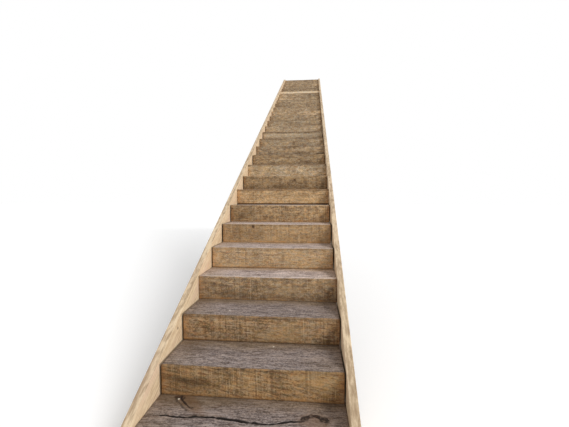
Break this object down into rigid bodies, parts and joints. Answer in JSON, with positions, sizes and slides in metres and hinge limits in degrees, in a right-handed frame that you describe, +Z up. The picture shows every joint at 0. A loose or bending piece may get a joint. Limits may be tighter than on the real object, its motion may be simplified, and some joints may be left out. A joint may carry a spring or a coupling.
{
  "type": "outdoor timber sleeper steps",
  "caption": "Straight outdoor flight of heavy weathered timber sleepers, stepped up a slope with each resting on the back of its neighbour below, between raked side boards.",
  "frame": {"origin": "middle of the underside of the lowest sleeper", "axes": "+Z up, +Y up the flight, +X to the right for someone who climbs it"},
  "size_m": [0.971, 8, 4.37],
  "materials": {
    "sleeper_timber": "sawn and weathered, greyer on the treads and golden brown on the risers, with saw marks, knots and drying checks",
    "board_timber": "pale sawn softwood board, lightly weathered",
    "screw_steel": "dull zinc with a little rust, on the screws that hold the side boards"
  },
  "bodies": {
    "root": {"step_01": "sleeper_timber", "step_02": "sleeper_timber", "step_03": "sleeper_timber", "step_04": "sleeper_timber", "step_05": "sleeper_timber", "step_06": "sleeper_timber", "step_07": "sleeper_timber", "step_08": "sleeper_timber", "step_09": "sleeper_timber", "step_10": "sleeper_timber", "step_11": "sleeper_timber", "step_12": "sleeper_timber", "step_13": "sleeper_timber", "step_14": "sleeper_timber", "step_15": "sleeper_timber", "step_16": "sleeper_timber", "step_17": "sleeper_timber", "step_18": "sleeper_timber", "step_19": "sleeper_timber", "step_20": "sleeper_timber", "step_21": "sleeper_timber", "step_22": "sleeper_timber", "step_23": "sleeper_timber", "step_24": "sleeper_timber", "step_25": "sleeper_timber", "step_26": "sleeper_timber", "step_27": "sleeper_timber", "step_28": "sleeper_timber", "step_29": "sleeper_timber", "left_board_1": "board_timber", "left_board_2": "board_timber", "left_board_3": "board_timber", "right_board_1": "board_timber", "right_board_2": "board_timber", "right_board_3": "board_timber"}
  },
  "joints": []
}
